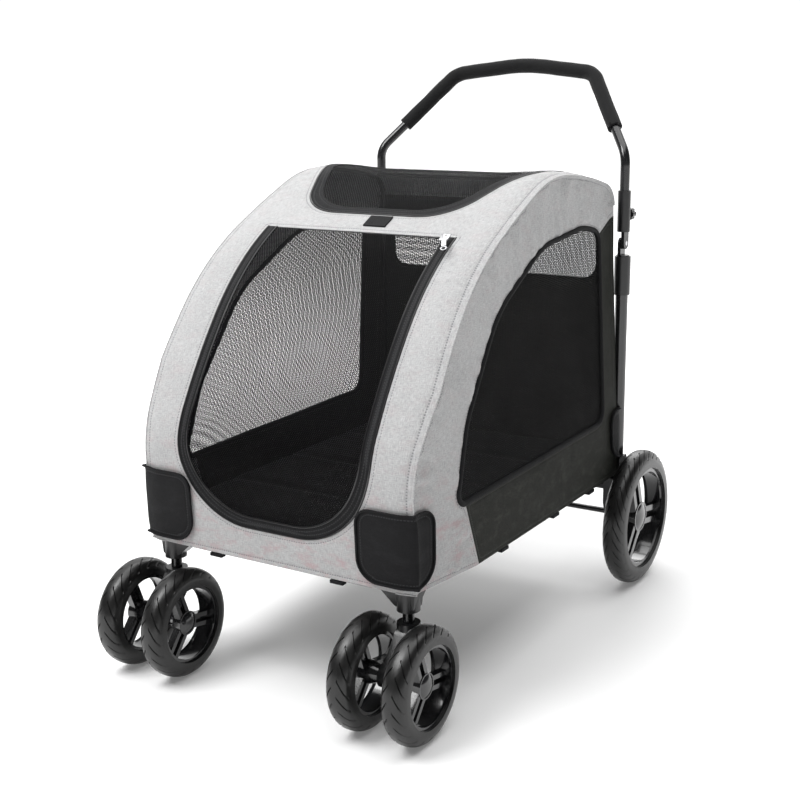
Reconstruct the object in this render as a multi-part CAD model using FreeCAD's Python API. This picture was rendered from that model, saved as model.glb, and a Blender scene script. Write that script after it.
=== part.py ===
"""Pet stroller for a large dog: a cloth cabin with mesh windows, a mesh door and a mesh roof flap, on a tube
base with two twin-wheel front casters, two large braked rear wheels and a fold-down, height-adjustable handle.

Frame: +X to the pusher's left, -Y to the front, +Z up. The origin is on the floor, under the middle of the
whole stroller. Everything is in millimetres. Pieces on the +X side are named left.
"""

import FreeCAD, Part
import math
import os

V = FreeCAD.Vector
X, Y, Z = V(1, 0, 0), V(0, 1, 0), V(0, 0, 1)
SIDES = {"left": 1, "right": -1}

# ---- clearances
run_gap = 0.05          # radial, shaft in its bore
seat_gap = 0.3          # between soft pieces and what they rest on
part_gap = 0.4          # between a cloth edge and a hard piece that passes it

# ---- whole cabin
cabin_front_y = -359.0
cabin_back_y = 312.0
hem_z = 205.0
cabin_top_z = 748.0
hem_half_width = 256.0      # over the cloth at the hem
top_half_width = 229.0      # over the cloth at the height of the roof
front_half_width = 235.0    # over the cloth at the front corners
flare_y = -212.0            # where the front taper ends
cloth_t = 2.4
mesh_t = 1.2
binding_w = 17.0            # black tape round the door and the roof flap
door_half_width = 172.0
door_low_z = 256.0
door_top_z = 668.0
slider_x = 163.0            # zip slider on the door
slider_y = -131.0
rear_window_half_width = 205.0
rear_window_low_z = 551.0
rear_window_top_z = 646.0
pad_t = 5.0                 # corner pads
pad_low_z = 215.0
pad_top_z = 322.0
pad_low_round = 34.0
pad_top_round = 24.0

# ---- spring rods under the cloth
rod_r = 3.0
rod_lean = 0.0150           # radians, in towards the roof
front_bow_y = -98.0
roof_bow_y = 264.0

# ---- front casters
caster_x = 213.8
caster_y = -333.5
caster_trail = 41.0
caster_wheel_r = 85.0
caster_tyre_w = 38.0
caster_wheel_pitch = 89.0
caster_rim_r = 62.0
caster_axle_r = 4.0
fork_w = 36.0
fork_top_z = 154.0
stem_r = 8.5
stem_top_z = 198.0

rim_lip = 3.0               # the rim is this much narrower than its tyre on each side
axle_cover = 6.5            # rim material left over the axle's end

# ---- rear wheels
rear_tyre_w = 38.0
wheel_room = 7.6            # between the cabin's side and a rear tyre
rear_x = hem_half_width + wheel_room + rear_tyre_w / 2
rear_y = 339.0
rear_wheel_r = 120.5
rear_rim_r = 92.0
rear_axle_r = 5.0
brake_ring_r = 34.0
brake_ring_t = 4.5
brake_teeth = 20
bracket_inner_x = 233.5
bracket_outer_x = 258.0
bracket_top_z = 232.0

# ---- base
tube_r = 10.0
tube_wall = 1.5
rail_x = 222.0
rail_z = 216.0
front_tube_y = -333.5
middle_tube_y = -20.0
rear_tube_y = 285.0
board_t = 4.0
cushion_h = 32.0

# ---- rear uprights and handle
upright_x = 246.0
upright_y = 331.0
upright_r = 11.0
upright_wall = 1.5
upright_foot_z = rear_wheel_r + rear_axle_r + 3
sleeve_r = 14.0
sleeve_low_z = 523.0
sleeve_top_z = 590.0
fold_z = 612.0
lug_reach = 20.0
lug_t = 5.6
fold_pin_r = 4.0
outer_top_z = 702.0
handle_tube_r = 8.2
handle_foot_z = 636.0
lower_bend_z = 762.0
upper_bend = (139.0, 433.0, 897.0)
bar_rise = 16.0
grip_r = 12.8
grip_start = 0.32           # share of the slanted leg below the foam
knob_z = 660.0
knob_r = 11.0
knob_shaft_r = 3.0

# ---- brakes
pedal_x = 204.0
pedal_y = rear_y + 29.0
pedal_z = rear_wheel_r + 39.5
pedal_w = 58.0
pedal_pin_r = 4.0
pedal_travel_deg = 25.0
pawl_reach = 14.5


# ---------------------------------------------------------------- helpers
def cylinder(centre, axis, radius, length):
    """A solid cylinder whose middle is at centre."""
    axis = V(axis).normalize()
    return Part.makeCylinder(radius, length, V(*centre) - axis * (length / 2), axis)


def tube(start, end, radius, wall):
    """A straight open tube."""
    start, end = V(*start), V(*end)
    length = (end - start).Length
    outer = Part.makeCylinder(radius, length, start, end - start)
    inner = Part.makeCylinder(radius - wall, length + 2, start - (end - start).normalize(), end - start)
    return outer.cut(inner)


def block(low, high):
    low, high = V(*low), V(*high)
    return Part.makeBox(high.x - low.x, high.y - low.y, high.z - low.z, low)


def mirror_x(shape):
    return shape.mirror(V(0, 0, 0), X)


def on_side(shape, sign):
    """A shape modelled on the left, moved to the side asked for."""
    return shape if sign > 0 else mirror_x(shape)


def rounded_path(points, radii):
    """Straight runs joined by tangent arcs; one radius per inner point."""
    points = [V(*p) for p in points]
    edges, last = [], points[0]
    for i, radius in enumerate(radii, 1):
        back = (points[i - 1] - points[i]).normalize()
        ahead = (points[i + 1] - points[i]).normalize()
        half = back.getAngle(ahead) / 2
        reach = radius / math.tan(half)
        centre = points[i] + (back + ahead).normalize() * (radius / math.sin(half))
        middle = centre + (points[i] - centre).normalize() * radius
        begin, end = points[i] + back * reach, points[i] + ahead * reach
        if (begin - last).Length > 1e-6:
            edges.append(Part.LineSegment(last, begin).toShape())
        edges.append(Part.Arc(begin, middle, end).toShape())
        last = end
    edges.append(Part.LineSegment(last, points[-1]).toShape())
    return Part.Wire(edges)


def round_pipe(path, radius):
    """A solid bar of round section along a path."""
    first = path.OrderedEdges[0]
    start = path.OrderedVertexes[0].Point
    direction = first.tangentAt(first.FirstParameter)
    circle = Part.Wire(Part.Circle(start, direction, radius).toShape())
    return path.makePipeShell([circle], True, True)


def prism_x(wire, low, high):
    """A closed outline in the YZ plane, drawn out along X."""
    face = Part.Face(wire)
    face.translate(V(low, 0, 0))
    return face.extrude(V(high - low, 0, 0))


def outline(points, plane, radii=None):
    """A closed outline through 2-D points with rounded corners. plane is "xy", "yz" or "xz"."""
    place = {"xy": lambda a, b: V(a, b, 0), "yz": lambda a, b: V(0, a, b), "xz": lambda a, b: V(a, 0, b)}[plane]
    corners = [place(*p) for p in points]
    radii = radii or [0] * len(corners)
    ends = []
    for i, corner in enumerate(corners):
        back = (corners[i - 1] - corner).normalize()
        ahead = (corners[(i + 1) % len(corners)] - corner).normalize()
        half = back.getAngle(ahead) / 2
        reach = radii[i] / math.tan(half) if radii[i] else 0
        middle = corner
        if radii[i]:
            centre = corner + (back + ahead).normalize() * (radii[i] / math.sin(half))
            middle = centre + (corner - centre).normalize() * radii[i]
        ends.append((corner + back * reach, middle, corner + ahead * reach, radii[i]))
    edges = []
    for i, (begin, middle, end, radius) in enumerate(ends):
        if radius:
            edges.append(Part.Arc(begin, middle, end).toShape())
        following = ends[(i + 1) % len(ends)][0]
        if (following - end).Length > 1e-6:
            edges.append(Part.LineSegment(end, following).toShape())
    return Part.Wire(edges)


def turned(points_and_arcs, axis=X):
    """A solid turned about X: lines between (x, r) points, or an arc where an item holds two points."""
    def at(p):
        return V(p[0], 0, p[1])

    edges, last = [], at(points_and_arcs[0])
    first = last
    for item in points_and_arcs[1:]:
        if isinstance(item[0], tuple):
            middle, end = at(item[0]), at(item[1])
            edges.append(Part.Arc(last, middle, end).toShape())
        else:
            end = at(item)
            edges.append(Part.LineSegment(last, end).toShape())
        last = end
    if (last - first).Length > 1e-6:
        edges.append(Part.LineSegment(last, first).toShape())
    return Part.Face(Part.Wire(edges)).revolve(V(0, 0, 0), axis, 360)


def export(name, shapes):
    shapes = shapes if isinstance(shapes, list) else [shapes]
    solids = [s for shape in shapes for s in shape.Solids]
    shape = solids[0] if len(solids) == 1 else Part.makeCompound(solids)
    shape.exportStep(f"parts/{name}.step")
    print(f"{name:24s} {len(solids)} solid(s) valid={all(s.isValid() for s in solids)}")


# ---------------------------------------------------------------- the cabin's form
def tangent_arc(start, heading, end):
    """An arc that leaves start along heading and ends at end; also returns the heading at its end."""
    chord = end - start
    turn = 2 * math.atan2(chord.z * heading.y - chord.y * heading.z, chord.y * heading.y + chord.z * heading.z)
    if abs(turn) < 1e-4:
        return Part.LineSegment(start, end).toShape(), heading

    def heading_after(angle):
        return V(0, heading.y * math.cos(angle) - heading.z * math.sin(angle),
                 heading.y * math.sin(angle) + heading.z * math.cos(angle))

    radius = chord.Length / (2 * math.sin(abs(turn) / 2))
    middle = start + heading_after(turn / 4) * (2 * radius * math.sin(abs(turn) / 4))
    return Part.Arc(start, middle, end).toShape(), heading_after(turn)


def profile_wire(inset):
    """The cabin seen from the side: upright front, arched roof, upright back. It runs on below the hem."""
    f, b, top = cabin_front_y, cabin_back_y, cabin_top_z
    low = hem_z - 20
    start, knee = V(0, f, low), V(0, f - 6, 335)
    edges = [Part.LineSegment(start, knee).toShape()]
    heading = (knee - start).normalize()
    last = knee
    for point in (
        V(0, f + 14, 420),
        V(0, f + 99, 550),
        V(0, f + 242, top - 78),
        V(0, f + 371, top - 18),
        V(0, b - 192, top),
        V(0, b - 34, top - 26),
    ):
        edge, heading = tangent_arc(last, heading, point)
        edges.append(edge)
        last = point
    fall = -heading.z
    radius = (b - last.y) / (1 - fall)
    back_top = V(0, b, last.z - radius * heading.y)
    edge, heading = tangent_arc(last, heading, back_top)
    edges += [
        edge,
        Part.LineSegment(back_top, V(0, b, low)).toShape(),
        Part.LineSegment(V(0, b, low), start).toShape(),
    ]
    wire = Part.Wire(edges)
    return wire.makeOffset2D(-inset) if inset else wire


def profile_point(inset, y):
    """The roof point of the inset profile at a given y."""
    line = Part.LineSegment(V(0, y, cabin_top_z + 50), V(0, y, cabin_top_z - 200)).toShape()
    return line.distToShape(profile_wire(inset))[1][0][0]


def taper_prism(inset):
    """The cabin seen from the front: its sides lean in from the hem to the roof."""
    low_z, high_z = hem_z - 60, cabin_top_z + 40
    lean = (hem_half_width - top_half_width) / (cabin_top_z - hem_z)
    low_x = hem_half_width + lean * (hem_z - low_z) - inset
    high_x = hem_half_width - lean * (high_z - hem_z) - inset
    wire = outline([(-low_x, low_z), (low_x, low_z), (high_x, high_z), (-high_x, high_z)], "xz")
    face = Part.Face(wire)
    face.translate(V(0, cabin_front_y - 80, 0))
    return face.extrude(V(0, cabin_back_y - cabin_front_y + 160, 0))


def plan_prism(inset):
    """The cabin seen from above: its front corners are drawn in."""
    wide = hem_half_width + 12 - inset
    narrow = front_half_width - inset
    slope = (hem_half_width - front_half_width) / (flare_y - cabin_front_y)
    front, back = cabin_front_y - 40, cabin_back_y + 40
    narrow_front = narrow - slope * 40
    meet_y = flare_y + 12 / slope
    points = [(-narrow_front, front), (narrow_front, front), (wide, meet_y), (wide, back), (-wide, back), (-wide, meet_y)]
    face = Part.Face(outline(points, "xy"))
    return face.extrude(V(0, 0, cabin_top_z + 100))


def cabin_body(inset, side_inset):
    body = prism_x(profile_wire(inset), -hem_half_width - 60, hem_half_width + 60)
    return body.common(taper_prism(side_inset)).common(plan_prism(side_inset))


def above_hem(shape, low=hem_z):
    return shape.common(block((-400, -600, low), (400, 600, cabin_top_z + 60)))


def door_outline(inset, top_inset):
    """The front door seen from the front: a deep U with a straight top."""
    half, low, top = door_half_width - inset, door_low_z + inset, door_top_z - top_inset
    return outline(
        [(-half, top), (-half, low), (half, low), (half, top)], "xz", [0, 128 - inset * 0.6, 128 - inset * 0.6, 0]
    )


def roof_outline(inset):
    """The roof flap seen from above: a rounded shape, wider at the back."""
    front, back, half = -78 + inset, 246 - inset, 204 - inset
    return outline(
        [(-half + 70, front), (half - 70, front), (half, 92), (half, back), (-half, back), (-half, 92)],
        "xy",
        [90, 90, 90, 36, 36, 90],
    )


def window_outline(inset):
    """A side window seen from the side: an arched front edge and an upright back edge."""
    i = inset
    return outline(
        [
            (-262 + i, 306 + i),
            (-224 + i, 420),
            (-120 + i * 0.8, 560 - i * 0.5),
            (36, 640 - i),
            (190, 654 - i),
            (252 - i, 640 - i),
            (252 - i, 312 + i),
        ],
        "yz",
        [18, 160, 190, 190, 150, 26, 26],
    )


def dark_side_outline():
    """The dark lower rear part of a side, below and behind the grey arch band."""
    return outline(
        [(-195, hem_z - 30), (-236, 306), (-236, 330), (100, 330), (100, 560), (262, 640), (372, 690), (372, hem_z - 30)],
        "yz",
    )


def rear_window_outline():
    half, low, top = rear_window_half_width, rear_window_low_z, rear_window_top_z
    return outline([(-half, low), (half, low), (half, top), (-half, top)], "xz", [24, 24, 24, 24])


def through_y(wire, low, high):
    face = Part.Face(wire)
    face.translate(V(0, low, 0))
    return face.extrude(V(0, high - low, 0))


def through_z(wire, low, high):
    face = Part.Face(wire)
    face.translate(V(0, 0, low))
    return face.extrude(V(0, 0, high - low))


def skin(thickness, sink=0.0):
    """The front, roof and back sheet of the cabin, of the thickness given."""
    return above_hem(cabin_body(sink, 0).cut(cabin_body(sink + thickness, -20)))


def side_walls(thickness, sink=0.0):
    return above_hem(cabin_body(cloth_t, sink).cut(cabin_body(cloth_t - 1, sink + thickness)))


def half_space(sign):
    return block((0, -600, 0), (400, 600, 900)) if sign > 0 else block((-400, -600, 0), (0, 600, 900))


def rail_notches():
    """Room in the back sheet for the two base rails."""
    reach = tube_r + part_gap
    return [
        block((s * rail_x - reach, cabin_back_y - 20, hem_z - 5), (s * rail_x + reach, cabin_back_y + 5, rail_z + reach))
        for s in SIDES.values()
    ]


def build_cabin():
    sheet = skin(cloth_t)
    door_cut = through_y(door_outline(0, 0), cabin_front_y - 60, 0)
    roof_cut = through_z(roof_outline(0), 600, 900)
    back_slab = block((-400, cabin_back_y - cloth_t - 0.01, 0), (400, cabin_back_y + 60, cabin_top_z - 68))
    hood = sheet.cut(door_cut).cut(roof_cut).cut(back_slab)
    export("hood_panel", hood)

    rear_cut = through_y(rear_window_outline(), cabin_back_y - 30, cabin_back_y + 30)
    back = sheet.common(back_slab)
    for notch in rail_notches():
        back = back.cut(notch)
    export("rear_window", back.common(rear_cut).common(
        block((-400, cabin_back_y - cloth_t / 2 - mesh_t / 2, 0), (400, cabin_back_y - cloth_t / 2 + mesh_t / 2, 900))))
    export("back_panel", back.cut(rear_cut))

    walls = side_walls(cloth_t)
    window_cut = prism_x(window_outline(0), -400, 400)
    dark = prism_x(dark_side_outline(), -400, 400)
    windows = side_walls(mesh_t, (cloth_t - mesh_t) / 2).common(window_cut)
    for name, sign in SIDES.items():
        wall = walls.common(half_space(sign)).cut(window_cut)
        export(f"side_band_{name}", wall.cut(dark))
        export(f"side_panel_{name}", wall.common(dark))
    export("side_windows", windows)

    build_door(sheet)
    build_roof_flap(sheet)


def build_door(sheet):
    """The mesh door, its bound zipped edge, and the zip's slider with its pull."""
    front = through_y(door_outline(part_gap, part_gap), cabin_front_y - 60, 0)
    inner = through_y(door_outline(binding_w, part_gap), cabin_front_y - 60, 0)
    export("door_binding", sheet.common(front).cut(inner))
    export("door_mesh", skin(mesh_t, (cloth_t - mesh_t) / 2).common(inner))
    on_cloth = profile_point(0, slider_y)
    below = profile_point(0, slider_y - 6)
    lean = math.degrees(math.atan2(on_cloth.y - below.y, on_cloth.z - below.z))
    slider = block((-4.5, -4.6, -8), (4.5, -0.2, 8))
    pull = block((-2.8, -6.6, -34), (2.8, -4.6, 2))
    body = slider.fuse(pull)
    body.rotate(V(0, 0, 0), X, -lean)
    body.translate(V(slider_x, on_cloth.y, on_cloth.z))
    export("zipper_slider", body)


def build_roof_flap(sheet):
    """The roof's mesh flap and its bound zipped edge."""
    whole = through_z(roof_outline(part_gap), 600, 900)
    inner = through_z(roof_outline(binding_w), 600, 900)
    export("roof_binding", sheet.common(whole).cut(inner))
    export("roof_mesh", skin(mesh_t, (cloth_t - mesh_t) / 2).common(inner))


def arch_rod(sign, extra=0.0):
    """A side arch rod just inside the cloth, in one plane that leans in towards the roof."""
    inset = cloth_t + rod_r + seat_gap
    edges = [e for e in profile_wire(inset).OrderedEdges if e.BoundBox.ZMax > hem_z]
    path = Part.Wire(Part.sortEdges(edges)[0])
    path.rotate(V(0, 0, hem_z), Y, -math.degrees(rod_lean))
    path.translate(V(front_half_width - inset + 1, 0, 0))
    rod = round_pipe(path, rod_r + extra).common(block((0, -600, board_top() + seat_gap), (400, 600, 900)))
    return on_side(rod, sign)


def board_top():
    return rail_z + tube_r + seat_gap / 3 + board_t


def build_rods():
    """Spring rods that hold the cloth up: an arch each side and two bows across the roof."""
    export("arch_rods", [arch_rod(s) for s in SIDES.values()])
    for name, y in (("front_bow", front_bow_y), ("roof_bow", roof_bow_y)):
        at = profile_point(cloth_t + rod_r + seat_gap, y)
        print(name, "at", round(at.y, 2), round(at.z, 2))
        export(name, cylinder(at, X, rod_r, 2 * (top_half_width - 18)))


# ---------------------------------------------------------------- base
def build_base():
    rails = [
        tube((s * rail_x, front_tube_y + tube_r, rail_z), (s * rail_x, upright_y - upright_r - 1, rail_z), tube_r, tube_wall)
        for s in SIDES.values()
    ]
    export("side_rails", rails)
    front_half = rail_x + tube_r
    front = tube((-front_half, front_tube_y, rail_z), (front_half, front_tube_y, rail_z), tube_r, tube_wall)
    between = [
        tube((-rail_x, y, rail_z), (rail_x, y, rail_z), tube_r, tube_wall) for y in (middle_tube_y, rear_tube_y)
    ]
    room = Part.makeCylinder(tube_r + run_gap, 900, V(rail_x, -450, rail_z), Y)
    export("cross_tubes", [front] + [t.cut([room, mirror_x(room)]) for t in between])

    floor_low = rail_z + tube_r + seat_gap / 3
    floor_body = cabin_body(cloth_t + seat_gap, cloth_t + seat_gap)
    board = floor_body.common(block((-400, -600, floor_low), (400, 600, floor_low + board_t)))
    export("floor_board", board)
    cushion_low = floor_low + board_t + seat_gap
    cushion = cabin_body(cloth_t + 14, cloth_t + 14).common(
        block((-400, -600, cushion_low), (400, 600, cushion_low + cushion_h))
    )
    export("floor_cushion", soften(cushion, 8))
    cover_top = rail_z - tube_r - seat_gap
    cover = floor_body.common(block((-400, -600, cover_top - cloth_t), (400, 600, cover_top)))
    for s in SIDES.values():
        cover = cover.cut(
            block(
                (min(s * 262, s * 168), cabin_front_y - 20, 150), (max(s * 262, s * 168), caster_y + 44, 240)
            )
        )
    export("floor_cover", cover)


def soften(shape, radius):
    """Round the top edges of a cushion."""
    top = shape.BoundBox.ZMax
    edges = [e for e in shape.Edges if e.BoundBox.ZMin > top - 0.01]
    return shape.makeFillet(radius, edges)


def build_front_brackets():
    """Corner brackets: a socket for the caster stem with curved wings that cup the base tubes."""
    top, low = rail_z - 1, 172.0
    solids = []
    for s in SIDES.values():
        socket = cylinder((caster_x, caster_y, (low + top) / 2), Z, 17, top - low)
        wing_x = outline(
            [(caster_x - 44, top), (caster_x - 44, top - 12), (caster_x - 15, low + 6), (caster_x + 15, low + 6),
             (rail_x + tube_r, top - 12), (rail_x + tube_r, top)], "xz", [0, 6, 10, 0, 0, 0])
        across = through_y(wing_x, caster_y - 12, caster_y + 12)
        wing_y = outline(
            [(caster_y - 14, top), (caster_y - 14, low + 6), (caster_y + 12, low + 6), (caster_y + 42, top - 12),
             (caster_y + 42, top)], "yz", [0, 0, 10, 6, 0])
        along = prism_x(wing_y, caster_x - 9, caster_x + 11)
        body = socket.fuse([across, along]).removeSplitter()
        body = body.cut(cylinder((0, front_tube_y, rail_z), X, tube_r + run_gap, 900))
        body = body.cut(cylinder((rail_x, 0, rail_z), Y, tube_r + run_gap, 900))
        body = body.cut(Part.makeCylinder(stem_r + run_gap, stem_top_z + 1 - low + 5, V(caster_x, caster_y, low - 5)))
        solids.append(on_side(body, s))
    export("front_brackets", solids)


# ---------------------------------------------------------------- casters
def build_caster(name, sign):
    cx, cy = sign * caster_x, caster_y
    axle_y, axle_z = caster_y - caster_trail, caster_wheel_r
    export(f"caster_stem_{name}", Part.makeCylinder(stem_r, stem_top_z - fork_top_z + 24, V(cx, cy, fork_top_z - 24)))
    crown = Part.makeCylinder(17, fork_top_z - 116, V(cx, cy, 116))
    hub = cylinder((cx, axle_y, axle_z), X, 17, fork_w)
    web = outline(
        [(axle_y - 15, axle_z + 8), (axle_y + 8, axle_z - 15), (cy + 14, 118), (cy + 14, fork_top_z - 6),
         (cy - 14, fork_top_z - 6)], "yz", [8, 8, 10, 6, 22])
    arm = prism_x(web, cx - 12, cx + 12)
    fork = crown.fuse([hub, arm]).removeSplitter()
    fork = fork.cut(Part.makeCylinder(stem_r, 60, V(cx, cy, fork_top_z - 24)))
    fork = fork.cut(cylinder((cx, axle_y, axle_z), X, caster_axle_r, 200))
    export(f"caster_fork_{name}", fork)
    half = caster_wheel_pitch / 2 + axle_reach(caster_tyre_w)
    export(f"caster_axle_{name}", cylinder((cx, axle_y, axle_z), X, caster_axle_r, 2 * half))
    for place, way in (("outer", sign), ("inner", -sign)):
        at = V(cx + way * caster_wheel_pitch / 2, axle_y, axle_z)
        rim = make_rim(caster_rim_r, caster_tyre_w, caster_axle_r, 17, (caster_wheel_pitch - fork_w) / 2 - 1.0)
        tyre = make_tyre(caster_wheel_r, caster_rim_r, caster_tyre_w)
        for kind, shape in (("rim", rim), ("tyre", tyre)):
            shape = shape if way > 0 else mirror_x(shape)
            shape.translate(at)
            export(f"{kind}_{name}_{place}", shape)


def axle_reach(width):
    """How far an axle runs into a wheel beyond the middle of its tyre."""
    return width / 2 - rim_lip - axle_cover - part_gap


def make_tyre(outer_r, inner_r, width):
    half, crown = width / 2, 5.0
    wall_r = inner_r + 0.55 * (outer_r - inner_r)
    return turned([
        (-half + 3, inner_r),
        (half - 3, inner_r),
        ((half, inner_r + 4), (half, wall_r)),
        ((half - 2.5, wall_r + 0.62 * (outer_r - wall_r)), (half - 9, outer_r - crown * 0.36)),
        ((0, outer_r), (-half + 9, outer_r - crown * 0.36)),
        ((-half + 2.5, wall_r + 0.62 * (outer_r - wall_r)), (-half, wall_r)),
        ((-half, inner_r + 4), (-half + 3, inner_r)),
    ])


def make_rim(rim_r, width, bore_r, hub_r, inboard, spokes=3):
    """A deep rim with three double-rib spokes and a domed hub; the hub is open on its inboard side.
    inboard is how far the hub reaches towards the fork from the middle of the wheel."""
    half = width / 2 - rim_lip
    barrel_t = 0.075 * rim_r
    barrel = turned([
        (-half, rim_r - barrel_t - 2), (-half, rim_r), (half, rim_r), (half, rim_r - barrel_t - 2),
        (half - 4, rim_r - barrel_t), (-half + 4, rim_r - barrel_t),
    ])
    face_x = half - 7
    hub = turned([(-inboard, 0), (-inboard, hub_r * 0.62), (-8, hub_r), (face_x, hub_r * 1.12), (face_x, 0)])
    cap_r, cap_h = hub_r, 5.0
    ball_r = (cap_r ** 2 + cap_h ** 2) / (2 * cap_h)
    ball = Part.makeSphere(ball_r, V(face_x + cap_h - ball_r, 0, 0))
    cap = ball.common(block((face_x - 0.5, -cap_r - 2, -cap_r - 2), (half + 9, cap_r + 2, cap_r + 2)))
    hub = hub.fuse(cap)
    pieces = [hub]
    rib_w, rib_gap = 0.11 * rim_r, 0.13 * rim_r
    reach = rim_r - barrel_t + 0.8
    for i in range(spokes):
        arm = block((-4, -rib_w - rib_gap / 2, hub_r * 0.7), (8, rib_w + rib_gap / 2, reach))
        groove = block((1.5, -rib_gap / 2, hub_r), (9, rib_gap / 2, reach + 5))
        back_groove = block((-5, -rib_gap / 2, hub_r), (-1.5, rib_gap / 2, reach + 5))
        arm = arm.cut(groove).cut(back_groove)
        arm.rotate(V(0, 0, 0), X, 360 / spokes * i + 20)
        pieces.append(arm)
    rim = barrel.fuse(pieces).removeSplitter()
    bore = Part.makeCylinder(bore_r + run_gap, inboard + half - axle_cover + 1, V(-inboard - 1, 0, 0), X)
    return rim.cut(bore)


# ---------------------------------------------------------------- rear wheels, brackets and brakes
def build_rear_wheel(name, sign):
    at = V(sign * rear_x, rear_y, rear_wheel_r)
    inboard = rear_x - bracket_outer_x - 1.0
    rim = make_rim(rear_rim_r, rear_tyre_w, rear_axle_r, 24, inboard)
    tyre = make_tyre(rear_wheel_r, rear_rim_r, rear_tyre_w)
    ring_x = -inboard + 0.6
    teeth = []
    for i in range(brake_teeth):
        tooth = block((ring_x, -1.8, brake_ring_r - 4), (ring_x + brake_ring_t, 1.8, brake_ring_r))
        tooth.rotate(V(0, 0, 0), X, 360 / brake_teeth * i)
        teeth.append(tooth)
    ring = cylinder((ring_x + brake_ring_t / 2, 0, 0), X, brake_ring_r - 3, brake_ring_t).fuse(teeth)
    ring = ring.fuse(cylinder(((ring_x - 6) / 2, 0, 0), X, 21, -6 - ring_x)).removeSplitter().cut(rim)
    ring = max(ring.Solids, key=lambda s: s.Volume)
    for kind, shape in (("rim", rim), ("tyre", tyre), ("brake_ring", ring)):
        shape = on_side(shape, sign)
        shape.translate(at)
        export(f"rear_{kind}_{name}", shape)


def build_rear_brackets():
    """Moulded housings that join rail, upright, axle and brake pivot."""
    solids = []
    for s in SIDES.values():
        round_end = cylinder(((bracket_inner_x + bracket_outer_x) / 2, rear_y, rear_wheel_r), X, 24,
                             bracket_outer_x - bracket_inner_x)
        web = outline(
            [(upright_y - 30, 150), (upright_y - 14, 103), (rear_y + 18, 103), (pedal_y + 8, pedal_z - 8),
             (pedal_y + 6, pedal_z + 10), (upright_y + 15, 196), (upright_y + 15, bracket_top_z),
             (cabin_back_y + part_gap, bracket_top_z), (cabin_back_y + part_gap, 199), (upright_y - 30, 199)],
            "yz", [8, 8, 12, 8, 8, 12, 3, 3, 2, 5])
        plate = prism_x(web, bracket_inner_x, bracket_outer_x)
        shoe = block((rail_x - tube_r - 4, cabin_back_y + part_gap, 199),
                     (bracket_inner_x + 1, upright_y + 15, bracket_top_z))
        body = round_end.fuse([plate, shoe]).removeSplitter()
        body = body.cut(Part.makeCylinder(tube_r + run_gap, 900, V(rail_x, upright_y - upright_r - 1 - 900, rail_z), Y))
        body = body.cut(Part.makeCylinder(upright_r + run_gap, 600, V(upright_x, upright_y, upright_foot_z)))
        body = body.cut(cylinder((0, rear_y, rear_wheel_r), X, rear_axle_r, 900))
        body = body.cut(cylinder((bracket_inner_x, pedal_y, pedal_z), X, pedal_pin_r + run_gap, 90))
        solids.append(on_side(body, s))
    export("rear_brackets", solids)


def build_brakes(name, sign):
    """A foot pedal on a pin through the bracket, and the pawl that the pin turns towards the wheel's ring."""
    pin_low, pin_high = pedal_x - pedal_w / 2, bracket_outer_x + 4.6
    pin = Part.makeCylinder(pedal_pin_r, pin_high - pin_low, V(pin_low, pedal_y, pedal_z), X)
    wide_low, wide_high = pedal_x - pedal_w / 2, bracket_inner_x - 0.6
    hub = Part.makeCylinder(8, wide_high - wide_low, V(wide_low, pedal_y, pedal_z), X)
    tread = outline(
        [(pedal_y, pedal_z + 7.5), (pedal_y + 30, pedal_z + 10), (pedal_y + 62, pedal_z - 2),
         (pedal_y + 62, pedal_z - 7), (pedal_y + 30, pedal_z + 4), (pedal_y, pedal_z - 6)],
        "yz", [0, 30, 2, 2, 24, 0])
    plate = prism_x(tread, wide_low, wide_high)
    pedal = hub.fuse([plate, pin]).removeSplitter()
    export(f"brake_pedal_{name}", on_side(pedal, sign))
    aim = math.degrees(math.atan2(pedal_z - rear_wheel_r, pedal_y - rear_y)) + 180 + pedal_travel_deg
    nose = block((0, 0, -3), (3.8, pawl_reach, 3))
    nose.rotate(V(0, 0, 0), X, aim)
    head = Part.makeCylinder(7, 3.8, V(0, 0, 0), X)
    pawl = head.fuse(nose)
    pawl.translate(V(bracket_outer_x + 0.6, pedal_y, pedal_z))
    pawl = pawl.cut(cylinder((bracket_outer_x, pedal_y, pedal_z), X, pedal_pin_r, 40)).removeSplitter()
    export(f"brake_pawl_{name}", on_side(pawl, sign))


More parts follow.
